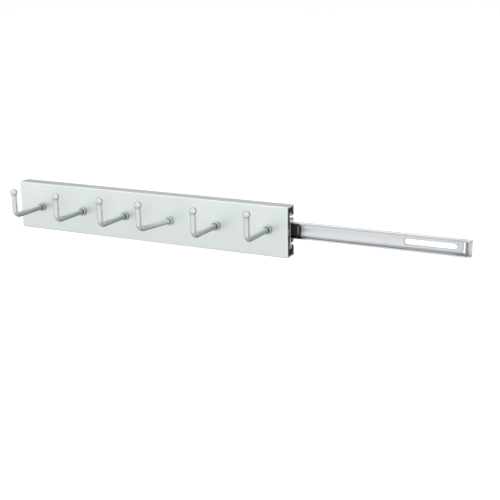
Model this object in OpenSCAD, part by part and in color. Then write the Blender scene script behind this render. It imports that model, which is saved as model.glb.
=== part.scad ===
// Sliding belt rack: an aluminium profile with six ball-tipped hooks, carried on a
// ball-bearing slide of three members whose innermost member is screwed to the wall.
// X runs along the rack, Y points into the wall (the wall is the plane Y = 0), Z is up.
// The origin lies midway between the two screw holes of the wall rail, on its rear face.

/* [Rack profile] */
// Length of the aluminium profile
rack_len = 305; // [290:1:320]
// Height of the profile
rack_h = 48; // [46:0.5:52]
// Depth of the profile, front to back
rack_d = 14.5; // [14.2:0.1:16]
// Wall thickness of the profile
wall_t = 1.5; // [1.2:0.1:1.8]
// Outer corner radius of the profile
corner_r = 0.9; // [0.5:0.1:1.2]
// Height of the opening between the two rear lips
mouth_h = 30; // [27:0.5:31]
// Gap between the profile and the wall
wall_gap = 0.5; // [0.4:0.1:1]
// Thickness of the bead inside the front wall that the hooks screw into
bead_t = 1.5; // [1.2:0.1:1.7]
// Width of the bead where it meets the wall
bead_w = 8; // [7.6:0.2:10]
// Height of the slide's centre line above the middle of the profile
slide_rise = 0.5; // [0:0.1:1]

/* [Hooks] */
// Distance of the first hook from the rack's left end
first_hook = 26.8; // [20:0.2:30]
// Distance of the last hook from the rack's right end
last_hook = 20.1; // [16:0.1:26]
// How far the last hook stands beyond the regular pitch
last_hook_shift = 3.1; // [0:0.1:4]
// Height of the hooks above the profile's lower edge
hook_z = 23.5; // [22.5:0.1:24.5]
// How much higher the last hook sits
last_hook_lift = 1.8; // [0:0.1:1.8]
// Diameter of the hook rod
rod_d = 5.3; // [4.6:0.1:5.6]
// Reach of a hook from the rack's face to the axis of its upstand
hook_reach = 41.5; // [34:0.5:44]
// Height of the ball's centre above the arm's axis
hook_rise = 23.2; // [18:0.2:26]
// Centre-line radius of the bend
bend_r = 6; // [4:0.5:7]
// Diameter of the ball at the tip
ball_tip_d = 7.3; // [6.6:0.1:9]
// Angle that the fourth hook is turned to the left
skew_angle = 12.5; // [1:0.5:15]
// Diameter of the hook's threaded end
thread_d = 4; // [3.6:0.1:4.2]
// Diameter of the collar at the foot of a hook
collar_d = 8.8; // [8.6:0.1:10.5]
// Thickness of the collar
collar_t = 2.2; // [2:0.1:3]

/* [Slide] */
// Sheet thickness of the slide members
sheet_t = 1.1; // [1:0.05:1.2]
// Height of the wall rail
rail_h = 14.4; // [13:0.2:15]
// Depth of the wall rail
rail_d = 6.9; // [6.7:0.1:7]
// Diameter of the bearing balls
bearing_d = 4; // [3.8:0.1:4]
// Depth of the grooves that the balls run in
groove_t = 0.55; // [0.45:0.05:0.6]
// Running gap between a ball and its raceway
race_gap = 0.1; // [0.05:0.01:0.1]
// Thickness of the ball cages
cage_t = 0.4; // [0.3:0.05:0.45]
// Gap on either side of a cage
cage_gap = 0.15; // [0.12:0.01:0.2]
// Gap between the middle member and the wall
back_gap = 0.3; // [0.3:0.05:0.6]
// Travel of the rack and middle member together along the wall rail
inner_travel = 165; // [150:1:170]
// Travel of the rack along the middle member
outer_travel = 150; // [120:1:160]
// Gap left at each end stop
stop_gap = 0.3; // [0.2:0.05:0.4]
// How far the wall rail stands out of the rack when it is pushed home
end_flush = 0.6; // [0.4:0.1:2]
// Distance of the slide's end from the rack's right end
slide_inset = 0.3; // [0.2:0.1:0.6]

/* [Wall rail] */
// Distance of the first screw hole from the rail's left end
hole_inset = 19.5; // [16:0.5:24]
// Spacing of the two screw holes
hole_pitch = 64; // [56:1:68]
// Diameter of the screw holes
hole_d = 4.5; // [4:0.1:5]
// Length of the long slot
slot_len = 47; // [40:0.5:50]
// Height of the long slot
slot_h = 5.2; // [4.6:0.1:6]
// Distance of the long slot from the rail's right end
slot_inset = 12.8; // [11:0.1:14]
// Distance of the bent end tab from the rail's right end
tab_inset = 3.3; // [3:0.1:4]
// Length of the window beside the end tab
window_len = 3.6; // [3:0.1:4.5]
// Height of the window beside the end tab
window_h = 10; // [8:0.5:10.5]
// How far the window's left edge and the latch block's right end bulge
bulge = 0.8; // [0.6:0.1:1.2]
// Length of the black latch block in the rail's channel
latch_len = 29.7; // [26:0.1:34]
// How far the latch block stands out of the rack's right end
latch_show = 7.5; // [6:0.1:10]
// Length of the lower, rounded end of the latch block
latch_step = 1.2; // [1:0.1:3]
// Height of the low rim along the latch block's lower side
latch_rim = 1.1; // [0.8:0.1:2]
// Chamfer of the latch block's plateau at its right and lower edges
latch_chamfer = 0.9; // [0.5:0.1:1.2]
// Height kept clear for the latch block above the channel's floor
latch_room = 4; // [3:0.1:4.4]

/* [End plugs] */
// Length of an end plug inside the profile
plug_len = 10; // [8:0.5:14]
// Thickness of the closed left plug's end wall
plug_wall = 2.4; // [2:0.1:3]
// Length of the pad on that wall that faces the slide's end
plug_pad = 2; // [1:0.1:4]
// Gap between a plug and what it fits
plug_gap = 0.05; // [0.03:0.01:0.1]

/* [Screws] */
// Thread diameter of the slide's screws
screw_d = 3; // [2.5:0.1:3.5]
// Head diameter of the slide's screws
head_d = 5.2; // [4.6:0.1:5.4]
// Diameter of the spacer under the slide at each screw
spacer_d = 8; // [7:0.5:10]

/* [Hidden] */

$fn = 64;
over = 1;          // overrun of the cuts
fit_gap = 0.05;    // gap between a part and the hole that holds it
edge = 0.5;        // chamfer of small turned and moulded parts

ALUMINIUM = [0.84, 0.87, 0.86];
HOOK_METAL = [0.78, 0.80, 0.79];
ZINC = [0.76, 0.79, 0.82];
BLACK = [0.09, 0.10, 0.10];
CHROME = [0.88, 0.89, 0.90];

// Each slide member fills the rack from its right end to the left plug's pad
slide_len = rack_len - slide_inset - plug_wall - plug_pad - stop_gap;

// Places along X
rail_left = -(hole_inset + hole_pitch / 2);
rail_right = rail_left + slide_len;
rack_right = rail_right - inner_travel - end_flush;
rack_left = rack_right - rack_len;
member_right = rack_right - slide_inset;
member_left = member_right - slide_len;

// Places along Y, from the wall towards the viewer
rack_back = -wall_gap;
rack_front = rack_back - rack_d;
wall_inner = rack_front + wall_t;
bead_face = wall_inner + bead_t;
cage_room = cage_t + 2 * cage_gap;
rail_front = -rail_d;
mid_back = rail_front - cage_room;
mid_front = mid_back - sheet_t;
outer_back = mid_front - cage_room;
outer_front = outer_back - sheet_t;

// Ball rows: radius of the raceways, and the centre of each upper row in Y and Z
bearing_r = bearing_d / 2;
race_r = bearing_r + race_gap;
shell_r = race_r + sheet_t;
inner_y = -back_gap - shell_r;
inner_z = rail_h / 2 - groove_t + race_r;
outer_y = outer_back + race_r;
outer_z = inner_z + shell_r + race_r;
lip = groove_t;    // how far a raceway's lip closes past the middle of its balls

// Heights of the flanges' outer faces
mid_top = inner_z + shell_r + groove_t;
outer_top = outer_z + shell_r;

// Heights of the profile, which sits lower than the slide's centre line
rack_top = rack_h / 2 - slide_rise;
rack_bottom = -rack_h / 2 - slide_rise;
rack_mid = -slide_rise;

// Stops: bent tabs on the rail and the middle member, lugs for the outer cage
tab_gap = 0.2;                              // tab to the web that passes it
tab_h = 2 * (inner_z - race_r) - 2 * sheet_t - 2 * race_gap;
rail_tab = rail_right - tab_inset;          // right face of the right tab
home_tab = rail_left + sheet_t;             // left face of the left tab
mid_tab = rail_tab - sheet_t - inner_travel - stop_gap;
mid_tab_y = -sheet_t - latch_room;
lug_len = 2 * sheet_t;
lug_h = tab_h;
lug_t = cage_t + cage_gap / 2;

inner_cage_left = home_tab + sheet_t + stop_gap;
inner_cage_right = mid_tab - sheet_t - stop_gap;
outer_cage_left = member_left + lug_len + stop_gap + outer_travel / 2;
outer_cage_right = member_right - lug_len - stop_gap - outer_travel / 2;
inner_ball_count = 9;
outer_ball_count = 10;
finger_t = cage_t;
finger_reach = 1.6;                         // cage finger past the row's centre

// Hooks
hook_count = 6;
skewed_hook = 4;
rod_r = rod_d / 2;
collar_gap = 0.1;                           // collar bore to rod
thread_len = wall_t + bead_t;
skew_start = collar_t + collar_gap;
skew_r = bend_r;                            // centre-line radius of the sideways bend

hook_pitch = (rack_len - first_hook - last_hook - last_hook_shift) / (hook_count - 1);

function last(i) = i == hook_count ? 1 : 0;
function hook_x(i) = rack_left + first_hook + (i - 1) * hook_pitch + last(i) * last_hook_shift;
function hook_height(i) = rack_bottom + hook_z + last(i) * last_hook_lift;
function screw_x(i) = rack_left + first_hook + (2 * i - 1.5) * hook_pitch;

// Extrudes a section drawn in Y and Z along X
module along_x(from, to) {
    translate([from, 0, 0])
        rotate([90, 0, 90])
            linear_extrude(to - from)
                children();
}

// A rectangle in Y and Z, given by its faces
module box2(y0, y1, z0, z1) {
    translate([y0, z0])
        square([y1 - y0, z1 - z0]);
}

// A block given by its faces
module block(x0, x1, y0, y1, z0, z1) {
    translate([x0, y0, z0])
        cube([x1 - x0, y1 - y0, z1 - z0]);
}

// Repeats a part drawn above the centre line below it
module both_sides() {
    children();
    mirror([0, 0, 1])
        children();
}

// The same for a section
module both_sides2() {
    children();
    mirror([0, 1])
        children();
}

// Places a part at the foot of one hook
module at_hook(i) {
    translate([hook_x(i), rack_front, hook_height(i)])
        children();
}

// Turn a part drawn along Z to run into the wall, or out towards the viewer
module toward_wall() {
    rotate([-90, 0, 0])
        children();
}

module toward_viewer() {
    rotate([90, 0, 0])
        children();
}

// Rack profile

module rounded_rect2(y0, y1, z0, z1, r) {
    box2(y0 + r, y1 - r, z0, z1);
    box2(y0, y1, z0 + r, z1 - r);
    for (y = [y0 + r, y1 - r], z = [z0 + r, z1 - r])
        translate([y, z])
            circle(r);
}

bead_z = (hook_height(1) + hook_height(hook_count)) / 2;

module profile2() {
    difference() {
        rounded_rect2(rack_front, rack_back, rack_bottom, rack_top, corner_r);
        box2(wall_inner, rack_back - wall_t, rack_bottom + wall_t, rack_top - wall_t);
        box2(rack_back - wall_t - over, rack_back + over,
             rack_mid - mouth_h / 2, rack_mid + mouth_h / 2);
    }
    polygon([
        [wall_inner - wall_t / 2, bead_z - bead_w / 2],
        [wall_inner, bead_z - bead_w / 2],
        [bead_face, bead_z - bead_w / 2 + bead_t],
        [bead_face, bead_z + bead_w / 2 - bead_t],
        [wall_inner, bead_z + bead_w / 2],
        [wall_inner - wall_t / 2, bead_z + bead_w / 2]
    ]);
}

module rack_profile() {
    color(ALUMINIUM)
        difference() {
            along_x(rack_left, rack_right)
                profile2();
            for (i = [1:hook_count])
                at_hook(i)
                    translate([0, -over, 0])
                        toward_wall()
                            cylinder(d = thread_d + 2 * fit_gap, h = thread_len + 2 * over);
            for (i = [1:3])
                translate([screw_x(i), bead_face - bead_t, 0])
                    toward_wall()
                        cylinder(d = screw_d + 2 * fit_gap, h = bead_t + over);
        }
}

// End plugs: black mouldings that fill the profile round the slide

module plug_outline2() {
    difference() {
        box2(wall_inner + plug_gap, rack_back - wall_t - plug_gap,
             rack_bottom + wall_t + plug_gap, rack_top - wall_t - plug_gap);
        translate([0, bead_z])
            box2(wall_inner - over, bead_face + plug_gap, -bead_w / 2, bead_w / 2);
    }
}

// The room that a plug leaves for the slide, with a round inner corner
module slide_room2() {
    box2(outer_front - plug_gap, outer_y + shell_r + plug_gap,
         -outer_top - plug_gap, outer_top + plug_gap);
    box2(outer_y, rack_back, -outer_z, outer_z);
}

module end_plug_right() {
    color(BLACK)
        along_x(rack_right - plug_len, rack_right)
            difference() {
                plug_outline2();
                slide_room2();
            }
}

module end_plug_left() {
    pad_left = rack_left + plug_wall;
    color(BLACK)
        union() {
            along_x(rack_left, pad_left)
                plug_outline2();
            along_x(rack_left, pad_left)
                box2(rack_back - wall_t - plug_gap, rack_back,
                     rack_mid - mouth_h / 2 + plug_gap, rack_mid + mouth_h / 2 - plug_gap);
            along_x(pad_left, rack_left + plug_len)
                difference() {
                    plug_outline2();
                    slide_room2();
                }
            block(pad_left, pad_left + plug_pad, mid_front, rail_front,
                  -tab_h / 2, tab_h / 2);
        }
}

// Hooks: a bent rod with a ball at its tip and a threaded foot

module hook_bend(reach) {
    translate([0, bend_r - reach, bend_r])
        rotate([90, 0, 90])
            rotate([0, 0, 180])
                rotate_extrude(angle = 90)
                    translate([bend_r, 0])
                        circle(rod_r);
}

module hook_rod(reach) {
    toward_viewer()
        cylinder(r = rod_r, h = reach - bend_r);
    hook_bend(reach);
    translate([0, -reach, bend_r])
        cylinder(r = rod_r, h = hook_rise - bend_r);
    translate([0, -reach, hook_rise])
        sphere(d = ball_tip_d);
}

// The same rod, bent to the left just in front of its collar, on a slimmer neck
module skewed_rod() {
    toward_viewer()
        cylinder(r = rod_r - fit_gap, h = skew_start + edge);
    translate([-skew_r, -skew_start, 0])
        rotate([0, 0, -skew_angle]) {
            rotate_extrude(angle = skew_angle)
                translate([skew_r, 0])
                    circle(rod_r);
            translate([skew_r, 0, 0])
                hook_rod(hook_reach - skew_start - skew_r * skew_angle * PI / 180);
        }
}

module hook(i) {
    color(HOOK_METAL)
        at_hook(i) {
            toward_wall()
                cylinder(d = thread_d, h = thread_len);
            if (i == skewed_hook)
                skewed_rod();
            else
                hook_rod(hook_reach);
        }
}

module hook_1() { hook(1); }
module hook_2() { hook(2); }
module hook_3() { hook(3); }
module hook_4() { hook(4); }
module hook_5() { hook(5); }
module hook_6() { hook(6); }

// Collar: a turned ring round the foot of a hook, chamfered at its front edge
module hook_collar(i) {
    bore_r = rod_r + collar_gap;
    collar_r = collar_d / 2;
    color(HOOK_METAL)
        at_hook(i)
            toward_viewer()
                rotate_extrude()
                    polygon([
                        [bore_r, 0],
                        [collar_r, 0],
                        [collar_r, collar_t - edge],
                        [collar_r - edge, collar_t],
                        [bore_r, collar_t]
                    ]);
}

module hook_collar_1() { hook_collar(1); }
module hook_collar_2() { hook_collar(2); }
module hook_collar_3() { hook_collar(3); }
module hook_collar_4() { hook_collar(4); }
module hook_collar_5() { hook_collar(5); }
module hook_collar_6() { hook_collar(6); }

// Slide, outer member: fixed inside the rack, with a raceway along each edge

module outer_half2() {
    box2(outer_front, outer_back, 0, outer_z);
    intersection() {
        translate([outer_y, outer_z])
            difference() {
                circle(shell_r);
                circle(race_r);
            }
        union() {
            box2(outer_front, outer_y + shell_r, outer_z, outer_top);
            box2(outer_y, outer_y + shell_r, outer_z - lip, outer_top);
        }
    }
}

module slide_outer_member() {
    color(ZINC)
        difference() {
            union() {
                along_x(member_left, member_right)
                    both_sides2()
                        outer_half2();
                block(member_right - lug_len, member_right, outer_back, outer_back + lug_t,
                      -lug_h / 2, lug_h / 2);
            }
            for (i = [1:3])
                translate([screw_x(i), outer_front, 0])
                    toward_wall()
                        cylinder(d1 = screw_d + 2 * fit_gap, d2 = head_d + 2 * fit_gap,
                                 h = sheet_t);
        }
}

module slide_spacers() {
    color(ZINC)
        for (i = [1:3])
            translate([screw_x(i), bead_face, 0])
                toward_wall()
                    difference() {
                        cylinder(d = spacer_d, h = outer_front - bead_face);
                        translate([0, 0, -over])
                            cylinder(d = screw_d + 2 * fit_gap, h = wall_t + bead_t + over);
                    }
}

module slide_screws() {
    shank = outer_front - bead_face + bead_t;
    color(CHROME)
        for (i = [1:3])
            translate([screw_x(i), outer_front - shank, 0])
                toward_wall() {
                    cylinder(d = screw_d, h = shank);
                    translate([0, 0, shank])
                        cylinder(d1 = screw_d, d2 = head_d, h = sheet_t);
                }
}

// Slide, middle member: a groove outside for one pair of ball rows, and a raceway
// inside for the other

module middle_half2() {
    difference() {
        union() {
            box2(mid_front, mid_back, 0, mid_top);
            box2(mid_front, inner_y, inner_z + race_r, inner_z + shell_r);
            box2(mid_front, outer_y + race_r, inner_z + shell_r, mid_top);
        }
        translate([outer_y, outer_z])
            circle(race_r);
    }
    intersection() {
        translate([inner_y, inner_z])
            difference() {
                circle(shell_r);
                circle(race_r);
            }
        box2(inner_y, inner_y + shell_r, inner_z - lip, inner_z + shell_r);
    }
}

module slide_middle_member() {
    color(ZINC)
        difference() {
            union() {
                along_x(member_left, member_right)
                    both_sides2()
                        middle_half2();
                block(mid_tab - sheet_t, mid_tab, mid_back - sheet_t / 2, mid_tab_y,
                      -tab_h / 2, tab_h / 2);
                block(member_left, member_left + lug_len, mid_front - lug_t, mid_front,
                      -lug_h / 2, lug_h / 2);
            }
            block(mid_tab - sheet_t - window_len, mid_tab - sheet_t,
                  mid_front - over, mid_back + over, -tab_h / 2, tab_h / 2);
        }
}

// Wall rail: the innermost member, screwed to the wall and open towards the viewer

module rail_half2() {
    box2(-sheet_t, 0, 0, rail_h / 2);
    difference() {
        union() {
            box2(rail_front, 0, rail_h / 2 - sheet_t, rail_h / 2);
            intersection() {
                translate([inner_y, inner_z])
                    circle(shell_r);
                box2(rail_front, -sheet_t, 0, rail_h / 2);
            }
        }
        translate([inner_y, inner_z])
            circle(race_r);
    }
}

module wall_hole(x) {
    translate([x, -sheet_t - over, 0])
        toward_wall()
            cylinder(d = hole_d, h = sheet_t + 2 * over);
}

module long_slot() {
    slot_right = rail_right - slot_inset;
    slot_r = slot_h / 2;
    block(slot_right - slot_len + slot_r, slot_right - slot_r,
          -sheet_t - over, over, -slot_r, slot_r);
    for (x = [slot_right - slot_len + slot_r, slot_right - slot_r])
        translate([x, -sheet_t - over, 0])
            toward_wall()
                cylinder(r = slot_r, h = sheet_t + 2 * over);
}

// Radius of an arc of this height that bulges by `bulge`
function bulge_r(h) = (pow(h / 2, 2) + pow(bulge, 2)) / (2 * bulge);

// The window beside the end tab, whose left edge is an arc that bulges to the right
module end_window() {
    right = rail_tab - sheet_t;
    arc_r = bulge_r(window_h);
    difference() {
        block(right - window_len, right, -sheet_t - over, over, -window_h / 2, window_h / 2);
        translate([right - window_len + bulge - arc_r, -sheet_t - 2 * over, 0])
            toward_wall()
                cylinder(r = arc_r, h = sheet_t + 4 * over);
    }
}

module rail_tab_at(left) {
    block(left, left + sheet_t, rail_front + tab_gap, -sheet_t / 2, -tab_h / 2, tab_h / 2);
}

latch_right = rack_right + latch_show;
latch_left = latch_right - latch_len;
peg_d = 3;
peg_inset = 6;      // pegs from either end of the latch block
latch_pegs = [latch_left + peg_inset, latch_right - 2 * peg_inset];

module wall_rail() {
    color(ZINC)
        difference() {
            union() {
                along_x(rail_left, rail_right)
                    both_sides2()
                        rail_half2();
                rail_tab_at(rail_tab - sheet_t);
                rail_tab_at(home_tab);
            }
            for (side = [-1, 1])
                wall_hole(side * hole_pitch / 2);
            for (x = latch_pegs)
                translate([x, -sheet_t - over, 0])
                    toward_wall()
                        cylinder(d = peg_d + 2 * fit_gap, h = sheet_t + 2 * over);
            long_slot();
            end_window();
        }
}

// Latch block: a black moulding pegged into the rail's channel, low enough for the
// middle member's tab to pass over it, with a chamfered plateau and an arc at its end

latch_low = 0.35 * latch_room;
latch_h = tab_h - 2 * fit_gap;
latch_base = -sheet_t - latch_low;          // front of the low level
latch_front = -sheet_t - latch_room + tab_gap;

module latch_foot() {
    arc_r = bulge_r(latch_h);
    block(latch_left, latch_right - bulge, latch_base, -sheet_t, -latch_h / 2, latch_h / 2);
    intersection() {
        block(latch_right - bulge, latch_right, latch_base, -sheet_t,
              -latch_h / 2, latch_h / 2);
        translate([latch_right - arc_r, latch_base - over, 0])
            toward_wall()
                cylinder(r = arc_r, h = latch_low + 2 * over);
    }
}

module latch_plateau() {
    right = latch_right - latch_step;
    bottom = -latch_h / 2 + latch_rim;
    intersection() {
        along_x(latch_left, right)
            polygon([
                [latch_base, bottom],
                [latch_base, latch_h / 2],
                [latch_front, latch_h / 2],
                [latch_front, bottom + latch_chamfer],
                [latch_front + latch_chamfer, bottom]
            ]);
        translate([0, 0, -latch_h / 2])
            linear_extrude(latch_h)
                polygon([
                    [latch_left, latch_base],
                    [latch_left, latch_front],
                    [right - latch_chamfer, latch_front],
                    [right, latch_front + latch_chamfer],
                    [right, latch_base]
                ]);
    }
}

module latch_block() {
    color(BLACK)
        union() {
            latch_foot();
            latch_plateau();
            for (x = latch_pegs)
                translate([x, -sheet_t - latch_low / 2, 0])
                    toward_wall()
                        cylinder(d = peg_d, h = latch_low / 2 + sheet_t);
        }
}

// Ball cages: a strip that runs between two members, with fingers between the balls

module balls(left, right, count, y, z, r) {
    pitch = (right - left) / count;
    for (i = [0:count - 1])
        translate([left + (i + 0.5) * pitch, y, z])
            sphere(r);
}

module cage(left, right, strip_y, row_y, row_z, finger_z, count) {
    color(CHROME)
        difference() {
            union() {
                block(left, right, strip_y, strip_y + cage_t,
                      -finger_z - finger_t, finger_z + finger_t);
                both_sides()
                    block(left, right, strip_y, row_y + finger_reach,
                          finger_z, finger_z + finger_t);
            }
            both_sides()
                balls(left, right, count, row_y, row_z, race_r);
        }
}

outer_strip = outer_back + cage_gap;
inner_strip = mid_back + cage_gap;
outer_finger = (mid_top + outer_z) / 2 - finger_t / 2;
inner_finger = (rail_h / 2 + inner_z) / 2 - finger_t / 2;

module outer_ball_cage() {
    cage(outer_cage_left, outer_cage_right, outer_strip, outer_y, outer_z,
         outer_finger, outer_ball_count);
}

module outer_balls() {
    color(CHROME)
        both_sides()
            balls(outer_cage_left, outer_cage_right, outer_ball_count,
                  outer_y, outer_z, bearing_r);
}

module inner_ball_cage() {
    cage(inner_cage_left, inner_cage_right, inner_strip, inner_y, inner_z,
         inner_finger, inner_ball_count);
    color(CHROME)
        for (x = [inner_cage_left, inner_cage_right - cage_t])
            block(x, x + cage_t, inner_strip, mid_tab_y, -tab_h / 2, tab_h / 2);
}

module inner_balls() {
    color(CHROME)
        both_sides()
            balls(inner_cage_left, inner_cage_right, inner_ball_count,
                  inner_y, inner_z, bearing_r);
}

rack_profile();
end_plug_left();
end_plug_right();
hook_1();
hook_2();
hook_3();
hook_4();
hook_5();
hook_6();
hook_collar_1();
hook_collar_2();
hook_collar_3();
hook_collar_4();
hook_collar_5();
hook_collar_6();
slide_outer_member();
slide_spacers();
slide_screws();
outer_ball_cage();
outer_balls();
slide_middle_member();
inner_ball_cage();
inner_balls();
wall_rail();
latch_block();
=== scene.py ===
from math import atan2, cos, pi, radians, sin, tan

import bmesh
import bpy
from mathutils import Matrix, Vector


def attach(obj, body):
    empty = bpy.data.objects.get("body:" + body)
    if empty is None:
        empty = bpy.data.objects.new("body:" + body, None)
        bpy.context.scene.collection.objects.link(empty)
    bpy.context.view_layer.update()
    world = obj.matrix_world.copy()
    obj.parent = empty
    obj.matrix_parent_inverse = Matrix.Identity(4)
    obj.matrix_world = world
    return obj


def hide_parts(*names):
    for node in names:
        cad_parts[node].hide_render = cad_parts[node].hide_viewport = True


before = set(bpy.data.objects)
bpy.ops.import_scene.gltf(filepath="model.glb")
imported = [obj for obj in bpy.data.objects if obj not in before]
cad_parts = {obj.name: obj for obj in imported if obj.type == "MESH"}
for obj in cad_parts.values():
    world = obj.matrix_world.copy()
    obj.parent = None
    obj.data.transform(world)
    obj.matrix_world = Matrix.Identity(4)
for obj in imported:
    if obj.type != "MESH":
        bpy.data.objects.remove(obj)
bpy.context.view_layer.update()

mm = 0.001
scene = bpy.context.scene


# node helpers

class Wire:
    # one socket of a node; arithmetic on it adds Math nodes

    def __init__(self, sheet, socket):
        self.sheet = sheet
        self.socket = socket

    def __add__(self, other):
        return self.sheet.math("ADD", self, other)

    __radd__ = __add__

    def __sub__(self, other):
        return self.sheet.math("SUBTRACT", self, other)

    def __rsub__(self, other):
        return self.sheet.math("SUBTRACT", other, self)

    def __mul__(self, other):
        return self.sheet.math("MULTIPLY", self, other)

    __rmul__ = __mul__

    def __truediv__(self, other):
        return self.sheet.math("DIVIDE", self, other)

    def __rtruediv__(self, other):
        return self.sheet.math("DIVIDE", other, self)

    def __neg__(self):
        return self.sheet.math("MULTIPLY", self, -1)

    def __abs__(self):
        return self.sheet.math("ABSOLUTE", self)

    def __gt__(self, other):
        return self.sheet.math("GREATER_THAN", self, other)

    def __lt__(self, other):
        return self.sheet.math("LESS_THAN", self, other)

    def within(self, low, high):
        # 1 between low and high, 0 outside them
        return (self > low) * (self < high)


class Sheet:
    # a node tree that is being laid out from left to right

    def __init__(self, tree):
        self.tree = tree
        self.column = 0
        tree.nodes.clear()

    def join(self, value, socket):
        # a wire or a list of wires is linked, anything else is set
        if isinstance(value, Wire):
            self.tree.links.new(value.socket, socket)
        elif isinstance(value, list):
            for each in value:
                self.tree.links.new(each.socket, socket)
        elif socket.type == "RGBA":
            socket.default_value = (*value, 1)
        else:
            socket.default_value = value

    def add(self, kind, settings=None, values=None, output=0):
        # one node: its settings first, then the values or links of its sockets
        node = self.tree.nodes.new(kind)
        node.location = (self.column, 0)
        self.column += 180
        for name, value in (settings or {}).items():
            setattr(node, name, value)
        for name, value in (values or {}).items():
            self.join(value, node.inputs[name])
        self.last = node
        return Wire(self, node.outputs[output]) if node.outputs else None

    def math(self, operation, *values):
        return self.add("ShaderNodeMath", {"operation": operation}, dict(enumerate(values)))

    def least(self, first, second):
        return self.math("MINIMUM", first, second)

    def most(self, first, second):
        return self.math("MAXIMUM", first, second)

    def split(self, vector):
        self.add("ShaderNodeSeparateXYZ", None, {"Vector": vector})
        return [Wire(self, each) for each in self.last.outputs]

    def vector(self, x, y, z):
        return self.add("ShaderNodeCombineXYZ", None, {0: x, 1: y, 2: z})

    def eased(self, value, start, full):
        # 0 up to start, 1 from full on, smooth between them; start may be the larger
        return self.add("ShaderNodeMapRange", {"interpolation_type": "SMOOTHSTEP"},
                        {"Value": value, "From Min": start, "From Max": full})

    def blended(self, share, first, second):
        return self.add("ShaderNodeMix", {"data_type": "RGBA"},
                        {0: share, 6: first, 7: second}, 2)


class Finish(Sheet):
    # a material; values that are the same all over sit on its shader's own sockets

    def __init__(self, name, even):
        self.material = bpy.data.materials.new(name)
        self.material.use_nodes = True
        super().__init__(self.material.node_tree)
        surface = self.add("ShaderNodeBsdfPrincipled", None, even)
        self.shader = self.last
        self.add("ShaderNodeOutputMaterial", None, {0: surface})
        self.place = self.add("ShaderNodeTexCoord", output="Object")
        self.facing = self.split(Wire(self, self.last.outputs["Normal"]))
        self.along = self.split(self.place)

    def noise(self, scale, detail, roughness):
        # scale is one number, or one for each axis so that a pattern runs along a piece
        place = self.place
        if isinstance(scale, tuple):
            place = self.add("ShaderNodeMapping", None, {"Vector": place, "Scale": scale})
            scale = 1.0
        return self.add("ShaderNodeTexNoise", None,
                        {"Vector": place, "Scale": scale, "Detail": detail,
                         "Roughness": roughness})

    def slope(self, first, second, start=0.35, full=0.60):
        # 1 where the surface faces midway between two axes, as an eased edge does
        lesser = self.least(abs(self.facing[first]), abs(self.facing[second]))
        return self.eased(lesser, start, full)

    def feed(self, **sockets):
        names = {"colour": "Base Color", "rough": "Roughness", "metal": "Metallic"}
        for name, value in sockets.items():
            self.join(value, self.shader.inputs[names[name]])

    def relief(self, layers):
        # bumps one after another, each (height, strength, distance)
        values = {}
        for height, strength, distance in layers:
            values.update({"Height": height, "Strength": strength, "Distance": distance})
            values["Normal"] = self.add("ShaderNodeBump", None, values)
        self.join(values["Normal"], self.shader.inputs["Normal"])


# finishes; in each look a pair is a range in metres or of facing, and where it eases,
# its second number has the full effect

metalBase = {"Metallic": 1.0, "IOR": 1.5}


def satinAluminium():
    # anodised extrusion: die lines along its length, faint clouding, a painted shading gradient
    # paler towards the top, painted shade on the top face and lower edges, painted highlights on
    # the upper edges and cut ends
    look = {"pale": (0.870, 0.928, 0.902), "deep": (0.772, 0.830, 0.806),
            "height": (-0.0245, 0.0235), "cloudScale": (14, 14, 22),
            "lineScale": (9, 900, 900), "lineTone": (0.60, 0.66, 0.64), "lines": 0.10,
            "paintedShadeTone": (0.35, 0.385, 0.375), "top": 0.10, "topLeftShade": 0.18,
            "topShadeRun": (-0.130, -0.185), "upward": 0.8, "lowEdgeShade": 0.30,
            "highlightTone": (0.97, 0.985, 0.98), "endHighlight": 0.55,
            "leftEnd": (-0.2199, -0.2221), "rightEnd": (0.0807, 0.0829),
            "rough": 0.37, "grain": 0.035, "grainDepth": 0.2 * mm,
            "fleckScale": 5200, "fleck": 0.05, "fleckDepth": 0.05 * mm}
    f = Finish("satinAluminium", {"Metallic": 0.94, "IOR": 1.5})
    x, z = f.along[0], f.along[2]
    up = f.facing[2]
    cloud = f.noise(look["cloudScale"], 3.0, 0.55)
    lines = f.noise(look["lineScale"], 4.0, 0.6)
    fleck = f.noise(look["fleckScale"], 2.0, 0.5)
    # paler towards the top: a painted shading gradient
    height = f.eased(z, *look["height"])
    colour = f.blended(0.35 * cloud + 0.65 * height, look["deep"], look["pale"])
    colour = f.blended(look["lines"] * lines, colour, look["lineTone"])
    turned = f.slope(1, 2)
    # painted shade: the top face darker, most towards the left end, and the lower eased edges
    # darker
    top = (look["top"] + look["topLeftShade"] * f.eased(x, *look["topShadeRun"])) * (up > look["upward"])
    colour = f.blended(top + look["lowEdgeShade"] * turned * (up < 0), colour, look["paintedShadeTone"])
    # painted highlights along the upper eased edges and both cut ends
    upperHighlight = turned * (up > 0)
    end = f.eased(x, *look["rightEnd"]) + f.eased(x, *look["leftEnd"])
    colour = f.blended(upperHighlight + look["endHighlight"] * end, colour, look["highlightTone"])
    f.feed(colour=colour, rough=look["rough"] + 0.07 * lines + 0.05 * cloud - 0.10 * upperHighlight)
    f.relief([(lines, look["grain"], look["grainDepth"]),
              (fleck, look["fleck"], look["fleckDepth"])])
    return f.material


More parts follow.
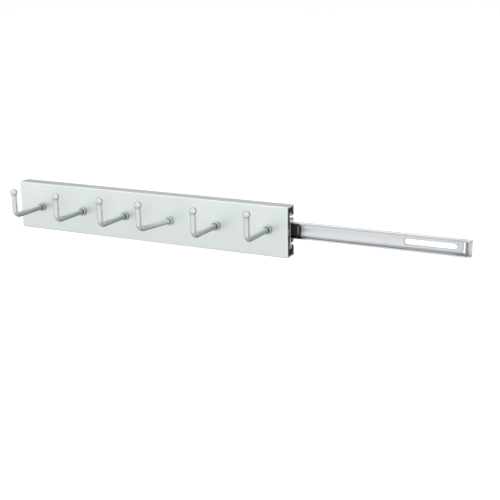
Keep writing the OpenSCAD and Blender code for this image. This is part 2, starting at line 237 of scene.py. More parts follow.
def satinNickel():
    # the hooks: plated rod; arms and collars carry painted shade, most at the rack and
    # underneath, and the fourth hook's arm is painted a little paler, as it is turned towards
    # the light
    look = {"pale": (0.78, 0.82, 0.805), "deep": (0.73, 0.77, 0.755),
            "paintedShadeTone": (0.27, 0.295, 0.285), "armRun": (-0.0530, -0.0150),
            "near": 0.60, "far": 0.88, "front": 0.75, "under": 0.30,
            "underFacing": (0.30, -0.85), "crown": 0.75, "crownFacing": (0.58, 0.92),
            "fourth": 0.42, "fourthRun": (-0.0540, -0.0375),
            "seatShadow": 0.60, "seatShadowRun": (-0.0164, -0.0154),
            "bend": (-0.0563, -0.0530), "armHeight": (0.0085, 0.0055),
            "ball": 0.10, "ballHeight": (0.0165, 0.0190),
            "rough": 0.22, "cloudScale": 130,
            "peelScale": 1400, "peel": 0.025, "peelDepth": 0.05 * mm,
            "scuffScale": (2600, 420, 420), "scuff": 0.015, "scuffDepth": 0.03 * mm}
    f = Finish("satinNickel", {"Metallic": 0.96, "IOR": 1.5})
    x, y, z = f.along
    up = f.facing[2]
    cloud = f.noise(look["cloudScale"], 3.0, 0.6)
    peel = f.noise(look["peelScale"], 2.0, 0.5)
    scuff = f.noise(look["scuffScale"], 3.0, 0.65)
    colour = f.blended(cloud, look["deep"], look["pale"])
    # painted shade on the arms and collars: darker towards the rack and underneath, lighter
    # where they face the front and on top
    start, foot = look["armRun"]
    dullAndShade = f.add("ShaderNodeMapRange", None,
                 {"Value": y, "From Min": start, "From Max": foot,
                  "To Min": look["near"], "To Max": look["far"]})
    dullAndShade = dullAndShade * (1 - look["front"] * abs(f.facing[1]))
    dullAndShade = dullAndShade + look["under"] * f.eased(up, *look["underFacing"])
    dullAndShade = dullAndShade * (1 - look["crown"] * f.eased(up, *look["crownFacing"]))
    # the fourth hook's arm, turned towards the light, is painted paler
    dullAndShade = dullAndShade * (1 - look["fourth"] * x.within(*look["fourthRun"]))
    # a painted contact shadow where the collar meets the rack
    dullAndShade = dullAndShade + look["seatShadow"] * f.eased(y, *look["seatShadowRun"])
    dullAndShade = dullAndShade * f.eased(y, *look["bend"]) * f.eased(z, *look["armHeight"])
    dullAndShade = dullAndShade + look["ball"] * f.eased(z, *look["ballHeight"])
    colour = f.blended(dullAndShade, colour, look["paintedShadeTone"])
    f.feed(colour=colour, rough=look["rough"] + 0.06 * cloud + 0.04 * scuff)
    f.relief([(peel, look["peel"], look["peelDepth"]),
              (scuff, look["scuff"], look["scuffDepth"])])
    return f.material


def zincSheet():
    # rolled steel strip with bright zinc plating: rolling streaks along X, faint bloom, painted
    # shade in the rail's corners and round its slot, painted highlights on its crests, and
    # painted black shade beside the latch block
    look = {"pale": (0.82, 0.845, 0.865), "deep": (0.70, 0.73, 0.76),
            "shadeMarkTone": (0.25, 0.265, 0.275), "crestHighlightTone": (0.97, 0.98, 0.985),
            "shadeTone": (0.035, 0.037, 0.04),
            "webFace": -0.0012, "lipFront": -0.0066, "lipBack": -0.0056, "lipLow": 0.0060,
            "corner": (0.0049, 0.0054), "cornerEnd": 0.00615, "lowCorner": 0.42,
            "tabRun": (0.2440, 0.2456), "tabFront": -0.0014, "lip": 0.40,
            "cutHalf": 0.0056, "cutFacing": 0.6, "end": 0.22, "endRun": (0.2240, 0.2420),
            "wallEdge": 0.28, "wallEdgeFrom": -0.0019,
            "slotMid": 0.2122, "slotRun": 0.0209, "rimIn": 0.0025, "rimRun": (0.0035, 0.0029),
            "rim": 0.42, "rimLeft": 0.45, "crestFacing": 0.3, "endFacing": 0.5,
            "rubRun": (0.0960, 0.0912), "rub": 0.5, "rackEnd": 0.0815, "shade": 0.94,
            "shadeRun": (0.0925, 0.0900), "lowShadeRun": (0.1010, 0.0890),
            "railFront": -0.0071, "railHalf": 0.0073, "outerWeb": -0.0090, "webHalf": 0.0118,
            "streakScale": (7, 520, 520), "bloomScale": (30, 55, 55), "spangleScale": 900,
            "rough": 0.24, "streak": 0.10, "streakDepth": 0.1 * mm,
            "spangle": 0.04, "spangleDepth": 0.05 * mm}
    f = Finish("zincSheet", metalBase)
    x, y, z = f.along
    high = abs(z)
    streak = f.noise(look["streakScale"], 5.0, 0.62)
    bloom = f.noise(look["bloomScale"], 4.0, 0.6)
    spangle = f.add("ShaderNodeTexVoronoi", {"feature": "F1"},
                    {"Vector": f.place, "Scale": look["spangleScale"]}, "Distance")
    colour = f.blended(0.55 * streak + 0.45 * bloom, look["deep"], look["pale"])
    # painted shade in the inner corners, on the end tab, the lips, the cut edges, the rail's end
    # and the wall edge
    cornerFrom, cornerFull = look["corner"]
    corner = f.eased(high, cornerFrom, cornerFull) * (high < look["cornerEnd"]) \
        * y.within(look["lipBack"], look["webFace"]) * (1 - look["lowCorner"] * (z < 0))
    tab = x.within(*look["tabRun"]) * (y < look["tabFront"]) * (high < look["cornerEnd"])
    lip = (z > look["lipLow"]) * (y < look["lipFront"])
    cut = (high < look["cutHalf"]) * (y > look["webFace"]) \
        * (abs(f.facing[1]) < look["cutFacing"])
    end = f.eased(x, *look["endRun"]) * (x < look["tabRun"][0])
    wallEdge = (z > look["lipLow"]) * (y > look["wallEdgeFrom"])
    # a painted shade rim round the long slot, stronger at its left end
    away = x - look["slotMid"]
    past = f.most(abs(away) - look["slotRun"], 0.0)
    ring = f.math("SQRT", past * past + z * z)
    rim = f.eased(ring, *look["rimRun"]) * (ring > look["rimIn"]) * (y > look["webFace"]) \
        * (look["rim"] + look["rimLeft"] * (away < -look["slotRun"]))
    shadeMarks = corner + tab + look["lip"] * lip + cut + look["end"] * end \
        + look["wallEdge"] * wallEdge + rim
    shadeMarks = f.least(shadeMarks, 1.0) * (0.62 + 0.30 * bloom)
    # painted highlights on the upper flange and lips, and on the middle member's cut end
    flange = (z > look["lipLow"]) * (y > look["lipFront"])
    tip = high.within(cornerFrom, look["cornerEnd"]) * (y < look["lipBack"])
    crestHighlight = (f.facing[2] > look["crestFacing"]) * f.most(flange, tip)
    cutEndHighlight = (f.facing[0] > look["endFacing"]) * y.within(look["outerWeb"], look["railFront"])
    colour = f.blended(f.most(crestHighlight, cutEndHighlight), colour, look["crestHighlightTone"])
    colour = f.blended(shadeMarks, colour, look["shadeMarkTone"])
    # beside the latch block both lips get painted shade and the latch block's painted
    # reflection, and the lower one fades out further on; the outer member's web there is painted
    # dark as well
    beside = f.eased(x, *look["shadeRun"]) * (y < look["lipFront"]) \
        + f.eased(x, *look["lowShadeRun"]) * (y < look["webFace"]) * (z < 0)
    onLip = (y > look["railFront"]) * high.within(cornerFull, look["railHalf"])
    onWeb = (y < look["outerWeb"]) * (high < look["webHalf"])
    shade = (beside * onLip + onWeb) * (x > look["rackEnd"])
    colour = f.blended(f.least(shade, look["shade"]), colour, look["shadeTone"])
    rub = f.eased(x, *look["rubRun"]) * (high < cornerFrom)
    rough = look["rough"] + 0.12 * streak + 0.08 * bloom + 0.10 * shadeMarks + 0.18 * rub
    f.feed(colour=colour, metal=1 - look["rub"] * rub, rough=rough)
    f.relief([(streak, look["streak"], look["streakDepth"]),
              (spangle, look["spangle"], look["spangleDepth"])])
    return f.material


def cageSteel():
    # thin punched strip: dull, slightly yellowed passivation
    look = {"dullAndShade": (0.60, 0.60, 0.55), "pale": (0.72, 0.71, 0.64), "bloomScale": 240,
            "streakScale": (12, 700, 700), "rough": 0.28, "streak": 0.10,
            "streakDepth": 0.1 * mm}
    f = Finish("cageSteel", metalBase)
    bloom = f.noise(look["bloomScale"], 4.0, 0.6)
    streak = f.noise(look["streakScale"], 4.0, 0.6)
    colour = f.blended(bloom, look["dullAndShade"], look["pale"])
    f.feed(colour=colour, rough=look["rough"] + 0.16 * streak)
    f.relief([(streak, look["streak"], look["streakDepth"])])
    return f.material


def polishedSteel():
    # bearing balls and screw heads: bright, with a trace of grease
    look = {"greased": (0.70, 0.71, 0.72), "pale": (0.82, 0.83, 0.84), "greaseScale": 620,
            "rough": 0.06, "grease": 0.04, "greaseDepth": 0.05 * mm}
    f = Finish("polishedSteel", metalBase)
    grease = f.noise(look["greaseScale"], 3.0, 0.6)
    colour = f.blended(grease, look["greased"], look["pale"])
    f.feed(colour=colour, rough=look["rough"] + 0.16 * grease)
    f.relief([(grease, look["grease"], look["greaseDepth"])])
    return f.material


def mouldedBlack():
    # black moulding with a fine spark-eroded grain; its eased edges carry painted highlights,
    # and the latch block's more than the plugs'
    look = {"deep": (0.010, 0.011, 0.013), "pale": (0.020, 0.022, 0.025),
            "edgeHighlightTone": (0.24, 0.25, 0.25), "endEdge": 0.9, "longEdge": 0.55,
            "plugs": 0.25, "plugsEnd": 0.0831, "cloudScale": 160,
            "rough": 0.44, "grainScale": 3400, "grain": 0.25, "grainDepth": 0.1 * mm}
    f = Finish("mouldedBlack", {"IOR": 1.48, "Specular IOR Level": 0.28})
    grain = f.noise(look["grainScale"], 3.0, 0.6)
    cloud = f.noise(look["cloudScale"], 3.0, 0.5)
    colour = f.blended(cloud, look["deep"], look["pale"])
    # painted highlights on the eased edges, strongest on the end edges
    edgeHighlight = look["endEdge"] * f.slope(0, 1) + look["longEdge"] * f.slope(1, 2)
    onLatch = f.along[0] > look["plugsEnd"]
    edgeHighlight = edgeHighlight * (look["plugs"] + (1 - look["plugs"]) * onLatch)
    colour = f.blended(edgeHighlight, colour, look["edgeHighlightTone"])
    f.feed(colour=colour, rough=look["rough"] + 0.18 * grain + 0.06 * cloud)
    f.relief([(grain, look["grain"], look["grainDepth"])])
    return f.material


finishes = {"aluminium": satinAluminium(), "hook_steel": satinNickel(),
            "zinc_steel": zincSheet(), "cage_steel": cageSteel(),
            "ball_steel": polishedSteel(), "black_plastic": mouldedBlack()}
print("finishes made:", len(finishes))


# mesh helpers

meshSizes = {"merge": 0.002 * mm, "flat": radians(0.4), "fold": radians(30),
             "crease": radians(38), "bevelSteps": 2, "cornerSteps": 6}


def meshPiece(name, mesh, body, slot, node):
    # a finished piece: its place is in its mesh, and it stands for one CAD node
    piece = bpy.data.objects.new(name, mesh)
    scene.collection.objects.link(piece)
    mesh.materials.clear()
    mesh.materials.append(finishes[slot])
    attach(piece, body)
    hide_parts(node)


def finished(work, mesh):
    # the worked shape goes into the mesh, smooth but for its creases
    work.to_mesh(mesh)
    work.free()
    mesh.shade_smooth()
    mesh.set_sharp_from_angle(angle=meshSizes["crease"])
    return mesh


def easedMesh(name, node, ease):
    # a copy of a CAD node's surface with its triangles joined and its edges eased
    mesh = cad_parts[node].data.copy()
    mesh.name = name
    work = bmesh.new()
    work.from_mesh(mesh)
    bmesh.ops.remove_doubles(work, verts=work.verts, dist=meshSizes["merge"])
    bmesh.ops.dissolve_degenerate(work, edges=work.edges, dist=meshSizes["merge"])
    bmesh.ops.dissolve_limit(work, verts=work.verts, edges=work.edges,
                             angle_limit=meshSizes["flat"], use_dissolve_boundaries=False)
    crisp = [e for e in work.edges
             if len(e.link_faces) == 2 and e.calc_face_angle(0) > meshSizes["fold"]]
    bmesh.ops.bevel(work, geom=crisp, offset=ease, offset_type="OFFSET",
                    segments=meshSizes["bevelSteps"], profile=0.5, affect="EDGES",
                    clamp_overlap=True)
    return finished(work, mesh)


def filleted(corners):
    # the closed outline through corners (y, z, radius), each one rounded
    outline = []
    steps = meshSizes["cornerSteps"]
    for i, (y, z, radius) in enumerate(corners):
        here = Vector((y, z))
        if radius <= 0:
            outline.append(here)
            continue
        back = (Vector(corners[i - 1][:2]) - here).normalized()
        on = (Vector(corners[(i + 1) % len(corners)][:2]) - here).normalized()
        half = back.angle(on) / 2
        run = radius / tan(half)
        centre = here + (back + on).normalized() * (radius / sin(half))
        start = here + back * run - centre
        end = here + on * run - centre
        first = atan2(start.y, start.x)
        turn = (atan2(end.y, end.x) - first + pi) % (2 * pi) - pi
        for k in range(steps + 1):
            angle = first + turn * k / steps
            outline.append(centre + Vector((cos(angle), sin(angle))) * radius)
    return outline


def sweptMesh(name, outline, left, right, ease):
    # the outline carried from left to right, with its cut ends eased
    count = len(outline)
    inner = []
    for i, point in enumerate(outline):
        before = (point - outline[i - 1]).normalized()
        after = (outline[(i + 1) % count] - point).normalized()
        along = (before + after).normalized()
        inner.append(point + Vector((-along.y, along.x)) * ease)
    work = bmesh.new()
    rings = []
    for x, ring in ((left, inner), (left + ease, outline),
                    (right - ease, outline), (right, inner)):
        rings.append([work.verts.new((x, p.x, p.y)) for p in ring])
    for a, b in zip(rings, rings[1:]):
        for i in range(count):
            j = (i + 1) % count
            work.faces.new((a[i], a[j], b[j], b[i]))
    work.faces.new(list(reversed(rings[0])))
    work.faces.new(rings[-1])
    bmesh.ops.recalc_face_normals(work, faces=work.faces)
    return finished(work, bpy.data.meshes.new(name))


# geometry tree helpers

def growTree(name, sizes):
    # an empty geometry tree with the named inputs; sizes holds name: (kind, default)
    group = bpy.data.node_groups.new(name, "GeometryNodeTree")
    group.interface.new_socket("Geometry", in_out="OUTPUT", socket_type="NodeSocketGeometry")
    for title, (kind, value) in sizes.items():
        socket = group.interface.new_socket(title, in_out="INPUT",
                                            socket_type="NodeSocket" + kind)
        if value is not None:
            socket.default_value = value
    sheet = Sheet(group)
    sheet.add("NodeGroupInput")
    return sheet, {title: Wire(sheet, sheet.last.outputs[title]) for title in sizes}


def treeEnd(sheet, shape, material):
    real = sheet.add("GeometryNodeRealizeInstances", None, {"Geometry": shape})
    smooth = sheet.add("GeometryNodeSetShadeSmooth", None, {"Geometry": real})
    done = sheet.add("GeometryNodeSetMaterial", None, {"Geometry": smooth, "Material": material})
    sheet.add("NodeGroupOutput", None, {0: done})
    return sheet.tree


def moved(sheet, shape, place, turn=(0, 0, 0)):
    return sheet.add("GeometryNodeTransform", None,
                     {"Geometry": shape, "Translation": place, "Rotation": turn})


def turnedRing(sheet, bore, outer, length, ease, easeSteps, sides):
    # a ring about Y: its section is a square with eased corners, carried round a circle
    square = sheet.add("GeometryNodeCurvePrimitiveQuadrilateral", {"mode": "RECTANGLE"},
                       {"Width": outer - bore, "Height": length})
    section = sheet.add("GeometryNodeFilletCurve", {"mode": "POLY"},
                        {"Curve": square, "Count": easeSteps, "Radius": ease})
    circle = sheet.add("GeometryNodeCurvePrimitiveCircle", None,
                       {"Resolution": sides, "Radius": (outer + bore) * 0.5})
    return sheet.add("GeometryNodeCurveToMesh", None,
                     {"Curve": circle, "Profile Curve": section})


def thickened(sheet, path, radius, sides):
    # a round bar along the path, as thick as radius says at each point
    sized = sheet.add("GeometryNodeSetCurveRadius", None, {"Curve": path, "Radius": radius})
    circle = sheet.add("GeometryNodeCurvePrimitiveCircle", None,
                       {"Resolution": sides, "Radius": 1.0})
    thick = sheet.add("GeometryNodeInputRadius")
    return sheet.add("GeometryNodeCurveToMesh", None,
                     {"Curve": sized, "Profile Curve": circle, "Scale": thick,
                      "Fill Caps": True})


def grown(name, tree, values):
    # runs a geometry tree once and keeps the result as a plain mesh
    holder = bpy.data.objects.new(name, bpy.data.meshes.new(name))
    scene.collection.objects.link(holder)
    maker = holder.modifiers.new("grow", "NODES")
    maker.node_group = tree
    for item in tree.interface.items_tree:
        if item.in_out == "INPUT" and item.name in values:
            maker[item.identifier] = values[item.name]
    bpy.context.view_layer.update()
    ready = holder.evaluated_get(bpy.context.evaluated_depsgraph_get())
    mesh = bpy.data.meshes.new_from_object(ready)
    mesh.name = name
    holder.modifiers.remove(maker)
    bpy.data.objects.remove(holder)
    mesh.set_sharp_from_angle(angle=meshSizes["crease"])
    return mesh


# rack profile

profileSizes = {"left": -222.1 * mm, "right": 82.9 * mm, "front": -15.0 * mm,
                "back": -0.5 * mm, "bottom": -24.5 * mm, "top": 23.5 * mm,
                "wall": 1.5 * mm, "corner": 0.9 * mm, "mouthHalf": 15.0 * mm,
                "beadOut": 1.5 * mm, "beadHalf": 4.0 * mm, "beadZ": -0.1 * mm,
                "inside": 0.35 * mm, "lipEdge": 0.3 * mm, "cutEase": 0.12 * mm}


def rackProfile(s):
    # the outline runs from the lower front corner round the outside and back inside
    front, back, bottom, top = s["front"], s["back"], s["bottom"], s["top"]
    inFront, inBack = front + s["wall"], back - s["wall"]
    inBottom, inTop = bottom + s["wall"], top - s["wall"]
    middle = (bottom + top) / 2
    mouthLow, mouthHigh = middle - s["mouthHalf"], middle + s["mouthHalf"]
    beadLow, beadHigh = s["beadZ"] - s["beadHalf"], s["beadZ"] + s["beadHalf"]
    bead = inFront + s["beadOut"]
    corners = [
        (front, bottom, s["corner"]), (front, top, s["corner"]), (back, top, s["corner"]),
        (back, mouthHigh, s["lipEdge"]), (inBack, mouthHigh, s["lipEdge"]),
        (inBack, inTop, s["inside"]), (inFront, inTop, s["inside"]),
        (inFront, beadHigh, 0), (bead, beadHigh - s["beadOut"], 0),
        (bead, beadLow + s["beadOut"], 0), (inFront, beadLow, 0),
        (inFront, inBottom, s["inside"]), (inBack, inBottom, s["inside"]),
        (inBack, mouthLow, s["lipEdge"]), (back, mouthLow, s["lipEdge"]),
        (back, bottom, s["corner"])]
    outline = list(reversed(filleted(corners)))
    return sweptMesh("rackProfile", outline, s["left"], s["right"], s["cutEase"])


meshPiece("rackProfile", rackProfile(profileSizes), "rack", "aluminium", "rack_profile")
print("rack profile made")


# hooks and collars

hookSizes = {"rod": 2.65 * mm, "reach": 41.5 * mm, "rise": 23.2 * mm, "bend": 6.0 * mm,
             "ball": 3.65 * mm, "neck": 0.15 * mm, "thread": 2.0 * mm,
             "threadLength": 3.0 * mm, "turnStart": 2.3 * mm, "turn": radians(12.5),
             "turned": 4, "face": -15.0 * mm,
             "places": [(-195.3 * mm, -1.0 * mm), (-144.3 * mm, -1.0 * mm),
                        (-93.3 * mm, -1.0 * mm), (-42.3 * mm, -1.0 * mm),
                        (8.7 * mm, -1.0 * mm), (62.8 * mm, 0.8 * mm)],
             "sides": 32, "steps": 130, "bendSteps": 14, "ballSides": 40, "ballRings": 24}


def hookTree(s):
    # a path of four points, bent round its corners and thickened towards the ball; Turn
    # swings the hook sideways from Turn Start on
    sheet, put = growTree("hookTree", {
        "Rod Radius": ("Float", s["rod"]), "Reach": ("Float", s["reach"]),
        "Rise": ("Float", s["rise"]), "Bend Radius": ("Float", s["bend"]),
        "Ball Radius": ("Float", s["ball"]), "Thread Radius": ("Float", s["thread"]),
        "Thread Length": ("Float", s["threadLength"]), "Turn Start": ("Float", s["turnStart"]),
        "Turn": ("Float", 0.0), "Foot": ("Vector", None), "Finish": ("Material", None)})
    turn, bend, ball = put["Turn"], put["Bend Radius"], put["Ball Radius"]
    halfTan = sheet.math("TANGENT", turn * 0.5)
    corner = put["Turn Start"] + bend * halfTan
    arm = put["Reach"] - put["Turn Start"] + bend * halfTan - bend * turn
    across = arm * sheet.math("SINE", turn)
    onward = arm * sheet.math("COSINE", turn)
    index = sheet.add("GeometryNodeInputIndex")
    onArm = index > 1.5
    spot = sheet.vector(-(across * onArm), -(corner * (index > 0.5)) - onward * onArm,
                        put["Rise"] * (index > 2.5))
    line = sheet.add("GeometryNodeMeshLine", {"mode": "OFFSET"}, {"Count": 4})
    placed = sheet.add("GeometryNodeSetPosition", None, {"Geometry": line, "Position": spot})
    path = sheet.add("GeometryNodeMeshToCurve", None, {"Mesh": placed})
    bent = sheet.add("GeometryNodeFilletCurve", {"mode": "POLY"},
                     {"Curve": path, "Count": s["bendSteps"], "Radius": bend,
                      "Limit Radius": True})
    fine = sheet.add("GeometryNodeResampleCurve", None, {"Curve": bent, "Count": s["steps"]})
    toBall = sheet.add("GeometryNodeSplineLength") \
        - sheet.add("GeometryNodeSplineParameter", output="Length")
    square = sheet.most(ball * ball - toBall * toBall, 0.0)
    swell = sheet.math("SMOOTH_MAX", put["Rod Radius"], sheet.math("SQRT", square), s["neck"])
    tube = thickened(sheet, fine, swell, s["sides"])
    knob = sheet.add("GeometryNodeMeshUVSphere", None,
                     {"Segments": s["ballSides"], "Rings": s["ballRings"], "Radius": ball})
    knob = moved(sheet, knob, sheet.vector(-across, -corner - onward, put["Rise"]))
    stud = sheet.add("GeometryNodeMeshCylinder", None,
                     {"Vertices": s["sides"], "Radius": put["Thread Radius"],
                      "Depth": put["Thread Length"]})
    stud = moved(sheet, stud, sheet.vector(0.0, put["Thread Length"] * 0.5, 0.0),
                 (pi / 2, 0, 0))
    whole = sheet.add("GeometryNodeJoinGeometry", None, {"Geometry": [stud, knob, tube]})
    return treeEnd(sheet, moved(sheet, whole, put["Foot"]), put["Finish"])


collarSizes = {"bore": 2.75 * mm, "outer": 4.4 * mm, "length": 2.2 * mm,
               "ease": 0.60 * mm, "easeSteps": 5, "sides": 56}


def collarTree(s):
    sheet, put = growTree("collarTree", {
        "Bore": ("Float", s["bore"]), "Outer": ("Float", s["outer"]),
        "Length": ("Float", s["length"]), "Ease": ("Float", s["ease"]),
        "Foot": ("Vector", None), "Finish": ("Material", None)})
    ring = turnedRing(sheet, put["Bore"], put["Outer"], put["Length"], put["Ease"],
                      s["easeSteps"], s["sides"])
    stood = moved(sheet, ring, sheet.vector(0.0, put["Length"] * -0.5, 0.0), (pi / 2, 0, 0))
    return treeEnd(sheet, moved(sheet, stood, put["Foot"]), put["Finish"])


hookMaker = hookTree(hookSizes)
collarMaker = collarTree(collarSizes)
for number, (x, z) in enumerate(hookSizes["places"], 1):
    name = "hook%d" % number
    common = {"Foot": (x, hookSizes["face"], z), "Finish": finishes["hook_steel"]}
    turn = hookSizes["turn"] if number == hookSizes["turned"] else 0.0
    mesh = grown(name, hookMaker, {"Turn": turn, **common})
    meshPiece(name, mesh, "rack", "hook_steel", "hook_%d" % number)
    name = "collar%d" % number
    mesh = grown(name, collarMaker, common)
    meshPiece(name, mesh, "rack", "hook_steel", "hook_collar_%d" % number)
print("hooks and collars grown")


# sheet metal and mouldings: copies of the CAD surfaces with eased edges

easedPieces = {
    "wall_rail": ("wallRail", "wall_rail_body", "zinc_steel", 0.14 * mm),
    "latch_block": ("latchBlock", "wall_rail_body", "black_plastic", 0.25 * mm),
    "slide_middle_member": ("middleMember", "middle_stage", "zinc_steel", 0.10 * mm),
    "slide_outer_member": ("outerMember", "rack", "zinc_steel", 0.10 * mm),
    "end_plug_left": ("endPlugLeft", "rack", "black_plastic", 0.15 * mm),
    "end_plug_right": ("endPlugRight", "rack", "black_plastic", 0.15 * mm),
    "outer_ball_cage": ("outerCage", "outer_cage_body", "cage_steel", 0.05 * mm),
    "inner_ball_cage": ("innerCage", "inner_cage_body", "cage_steel", 0.05 * mm)}

for node, (name, body, slot, ease) in easedPieces.items():
    meshPiece(name, easedMesh(name, node, ease), body, slot, node)
print("sheet metal and mouldings eased")


# bearing balls: a mirrored pair of rows on each cage

ballRows = {"radius": 2.0 * mm, "sides": 32, "rings": 18,
            "outer": {"left": -139.9 * mm, "right": 5.1 * mm, "count": 10,
                      "y": -7.3 * mm, "z": 14.05 * mm, "body": "outer_cage_body"},
            "inner": {"left": -49.0 * mm, "right": 77.4 * mm, "count": 9,
                      "y": -3.5 * mm, "z": 8.75 * mm, "body": "inner_cage_body"}}


def ballTree(s):
    sheet, put = growTree("ballTree", {
        "Ball Radius": ("Float", s["radius"]), "Count": ("Int", 10),
        "Left": ("Float", 0.0), "Pitch": ("Float", 0.0), "Row Y": ("Float", 0.0),
        "Row Z": ("Float", 0.0), "Finish": ("Material", None)})
    ball = sheet.add("GeometryNodeMeshUVSphere", None,
                     {"Segments": s["sides"], "Rings": s["rings"],
                      "Radius": put["Ball Radius"]})
    rows = []
    for side in (1, -1):
        start = sheet.vector(put["Left"] + put["Pitch"] * 0.5, put["Row Y"],
                             put["Row Z"] * side)
        line = sheet.add("GeometryNodeMeshLine", {"mode": "OFFSET"},
                         {"Count": put["Count"], "Start Location": start,
                          "Offset": sheet.vector(put["Pitch"], 0.0, 0.0)})
        rows.append(sheet.add("GeometryNodeInstanceOnPoints", None,
                              {"Points": line, "Instance": ball}))
    both = sheet.add("GeometryNodeJoinGeometry", None, {"Geometry": rows})
    return treeEnd(sheet, both, put["Finish"])


ballMaker = ballTree(ballRows)
for level in ("outer", "inner"):
    row = ballRows[level]
    name = level + "Balls"
    mesh = grown(name, ballMaker,
                 {"Count": row["count"], "Left": row["left"], "Row Y": row["y"],
                  "Row Z": row["z"], "Pitch": (row["right"] - row["left"]) / row["count"],
                  "Finish": finishes["ball_steel"]})
    meshPiece(name, mesh, row["body"], "ball_steel", level + "_balls")
print("bearing balls grown")


# screws that hold the slide in the rack, each through a turned spacer

screwSizes = {"places": [-169.8 * mm, -67.8 * mm, 34.2 * mm], "tip": -13.5 * mm,
              "shank": 1.5 * mm, "shankLength": 3.0 * mm, "head": 2.6 * mm,
              "headLength": 1.1 * mm, "slotLength": 2.7 * mm, "slotWidth": 0.62 * mm,
              "slotDepth": 0.75 * mm, "steps": 42, "sides": 40}
spacerSizes = {"foot": -10.5 * mm, "outer": 4.0 * mm, "bore": 1.55 * mm,
               "length": 1.5 * mm, "ease": 0.18 * mm, "easeSteps": 3, "sides": 56}


def spread(sheet, shape, y, finish):
    # the shape on the screws' places along the slide
    first, second = screwSizes["places"][:2]
    line = sheet.add("GeometryNodeMeshLine", {"mode": "OFFSET"},
                     {"Count": len(screwSizes["places"]), "Start Location": (first, y, 0),
                      "Offset": (second - first, 0, 0)})
    copies = sheet.add("GeometryNodeInstanceOnPoints", None,
                       {"Points": line, "Instance": shape})
    return treeEnd(sheet, copies, finish)


def screwTree(s):
    # a countersunk screw: the radius along its axis follows shank and head, and two
    # crossed bars are cut from the head
    sheet, put = growTree("screwTree", {
        "Shank Radius": ("Float", s["shank"]), "Shank Length": ("Float", s["shankLength"]),
        "Head Radius": ("Float", s["head"]), "Head Length": ("Float", s["headLength"]),
        "Slot Length": ("Float", s["slotLength"]), "Slot Width": ("Float", s["slotWidth"]),
        "Slot Depth": ("Float", s["slotDepth"]), "Finish": ("Material", None)})
    shank = put["Shank Length"]
    top = sheet.vector(0.0, shank + put["Head Length"], 0.0)
    axis = sheet.add("GeometryNodeCurvePrimitiveLine", None, {"Start": (0, 0, 0), "End": top})
    fine = sheet.add("GeometryNodeResampleCurve", None, {"Curve": axis, "Count": s["steps"]})
    run = sheet.add("GeometryNodeSplineParameter", output="Length")
    flare = sheet.most((run - shank) / put["Head Length"], 0.0)
    radius = put["Shank Radius"] + (put["Head Radius"] - put["Shank Radius"]) * flare
    body = thickened(sheet, fine, radius, s["sides"])
    bars = []
    for first, second in (("Slot Length", "Slot Width"), ("Slot Width", "Slot Length")):
        size = sheet.vector(put[first], put["Slot Depth"] * 2, put[second])
        bars.append(moved(sheet, sheet.add("GeometryNodeMeshCube", None, {"Size": size}), top))
    cut = sheet.add("GeometryNodeMeshBoolean", {"operation": "DIFFERENCE", "solver": "EXACT"},
                    {"Mesh 1": body, "Mesh 2": bars})
    return spread(sheet, cut, s["tip"], put["Finish"])


def spacerTree(s):
    sheet, put = growTree("spacerTree", {
        "Bore": ("Float", s["bore"]), "Outer": ("Float", s["outer"]),
        "Length": ("Float", s["length"]), "Ease": ("Float", s["ease"]),
        "Finish": ("Material", None)})
    ring = turnedRing(sheet, put["Bore"], put["Outer"], put["Length"], put["Ease"],
                      s["easeSteps"], s["sides"])
    ring = moved(sheet, ring, (0, 0, 0), (pi / 2, 0, 0))
    return spread(sheet, ring, s["foot"] - s["length"] / 2, put["Finish"])


mesh = grown("slideScrews", screwTree(screwSizes), {"Finish": finishes["ball_steel"]})
meshPiece("slideScrews", mesh, "rack", "ball_steel", "slide_screws")
mesh = grown("slideSpacers", spacerTree(spacerSizes), {"Finish": finishes["zinc_steel"]})
meshPiece("slideSpacers", mesh, "rack", "zinc_steel", "slide_spacers")
print("screws and spacers grown")


# studio: a white room in front and above, darker behind the rack, on a pale floor

studio = {"front": 0.97, "frontRun": (0.20, -0.10), "ceiling": 0.95,
          "ceilingRun": (0.62, 0.80), "backdrop": 0.53, "back": 0.42,
          "backRun": (0.34, 0.46),
          "floor": -0.45, "floorHalf": 14.0, "paper": 0.50, "lit": 0.80,
          "glow": 0.51, "glowRun": (0.0, -0.7),
          "lamps": {"softboxTop": {"place": (-0.6, -0.5, 1.4), "wide": 2.4, "deep": 1.8,
                                   "power": 2.4},
                    "softboxSide": {"place": (1.50, -0.50, 0.55), "wide": 0.5, "deep": 0.5,
                                    "power": 2.4}},
          "cameraPlace": (0.45138, -0.80982, 0.22873),
          "cameraTurn": (74.4027, 0.9280, 26.8560), "lens": 71.784, "sensor": 36,
          "nearest": 0.01, "farthest": 60}


def rayKinds(sheet):
    # 1 for camera rays, and 1 for the rays that show the room in metal and glass
    eye = sheet.add("ShaderNodeLightPath", output="Is Camera Ray")
    kinds = sheet.last.outputs
    return eye, Wire(sheet, kinds["Is Glossy Ray"]) + Wire(sheet, kinds["Is Transmission Ray"])


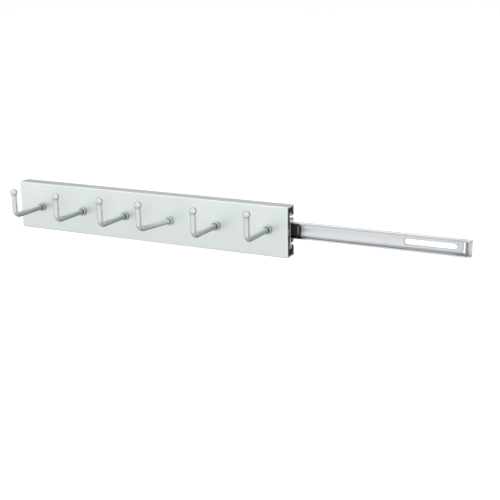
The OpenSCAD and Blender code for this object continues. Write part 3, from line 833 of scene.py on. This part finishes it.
def makeWorld(s):
    world = bpy.data.worlds.new("studioWorld")
    scene.world = world
    world.use_nodes = True
    w = Sheet(world.node_tree)
    eye, gloss = rayKinds(w)
    way = w.split(w.add("ShaderNodeTexCoord", output="Generated"))
    front, back, backdrop, ceiling = ((s[name],) * 3
                                      for name in ("front", "back", "backdrop", "ceiling"))
    before = w.eased(way[1], *s["frontRun"])
    above = w.eased(way[2], *s["ceilingRun"])
    walls = w.blended(w.eased(way[2], *s["backRun"]), backdrop, back)
    tone = w.blended(above, w.blended(before, walls, front), ceiling)
    plain = w.add("ShaderNodeBackground", None, {"Color": tone, "Strength": 1.0})
    white = w.add("ShaderNodeBackground", None, {"Color": (1, 1, 1), "Strength": 1.0})
    seen = w.least(eye + gloss * w.most(before, above), 1.0)
    mixed = w.add("ShaderNodeMixShader", None, {0: seen, 1: plain, 2: white})
    w.add("ShaderNodeOutputWorld", None, {0: mixed})


def makeFloor(s):
    mesh = bpy.data.meshes.new("studioFloor")
    half, z = s["floorHalf"], s["floor"]
    mesh.from_pydata([(-half, -half, z), (half, -half, z), (half, half, z), (-half, half, z)],
                     [], [(0, 1, 2, 3)])
    floor = bpy.data.objects.new("studioFloor", mesh)
    scene.collection.objects.link(floor)
    material = bpy.data.materials.new("floorPaper")
    material.use_nodes = True
    m = Sheet(material.node_tree)
    eye, gloss = rayKinds(m)
    spot = m.split(m.add("ShaderNodeTexCoord", output="Object"))
    ahead = m.eased(spot[1], *s["glowRun"])
    paper = m.add("ShaderNodeBsdfDiffuse", None, {"Color": (s["paper"],) * 3})
    lit = m.add("ShaderNodeEmission", None,
                {"Color": (1, 1, 1), "Strength": s["lit"] * eye + s["glow"] * gloss * ahead})
    both = m.add("ShaderNodeAddShader", None, {0: paper, 1: lit})
    m.add("ShaderNodeOutputMaterial", None, {0: both})
    mesh.materials.append(material)


def makeLamp(name, s):
    # an area lamp that faces the origin
    data = bpy.data.lights.new(name, "AREA")
    data.shape = "RECTANGLE"
    data.size = s["wide"]
    data.size_y = s["deep"]
    data.energy = s["power"]
    lamp = bpy.data.objects.new(name, data)
    lamp.location = s["place"]
    lamp.rotation_euler = (-Vector(s["place"])).to_track_quat("-Z", "Y").to_euler()
    scene.collection.objects.link(lamp)


def makeCamera(s):
    data = bpy.data.cameras.new("photoCamera")
    data.sensor_width = s["sensor"]
    data.lens = s["lens"]
    data.clip_start = s["nearest"]
    data.clip_end = s["farthest"]
    camera = bpy.data.objects.new("photoCamera", data)
    camera.location = s["cameraPlace"]
    camera.rotation_euler = [radians(a) for a in s["cameraTurn"]]
    scene.collection.objects.link(camera)
    scene.camera = camera


makeWorld(studio)
makeFloor(studio)
for name, lamp in studio["lamps"].items():
    makeLamp(name, lamp)
makeCamera(studio)
scene.view_settings.view_transform = "Standard"
print("studio set")
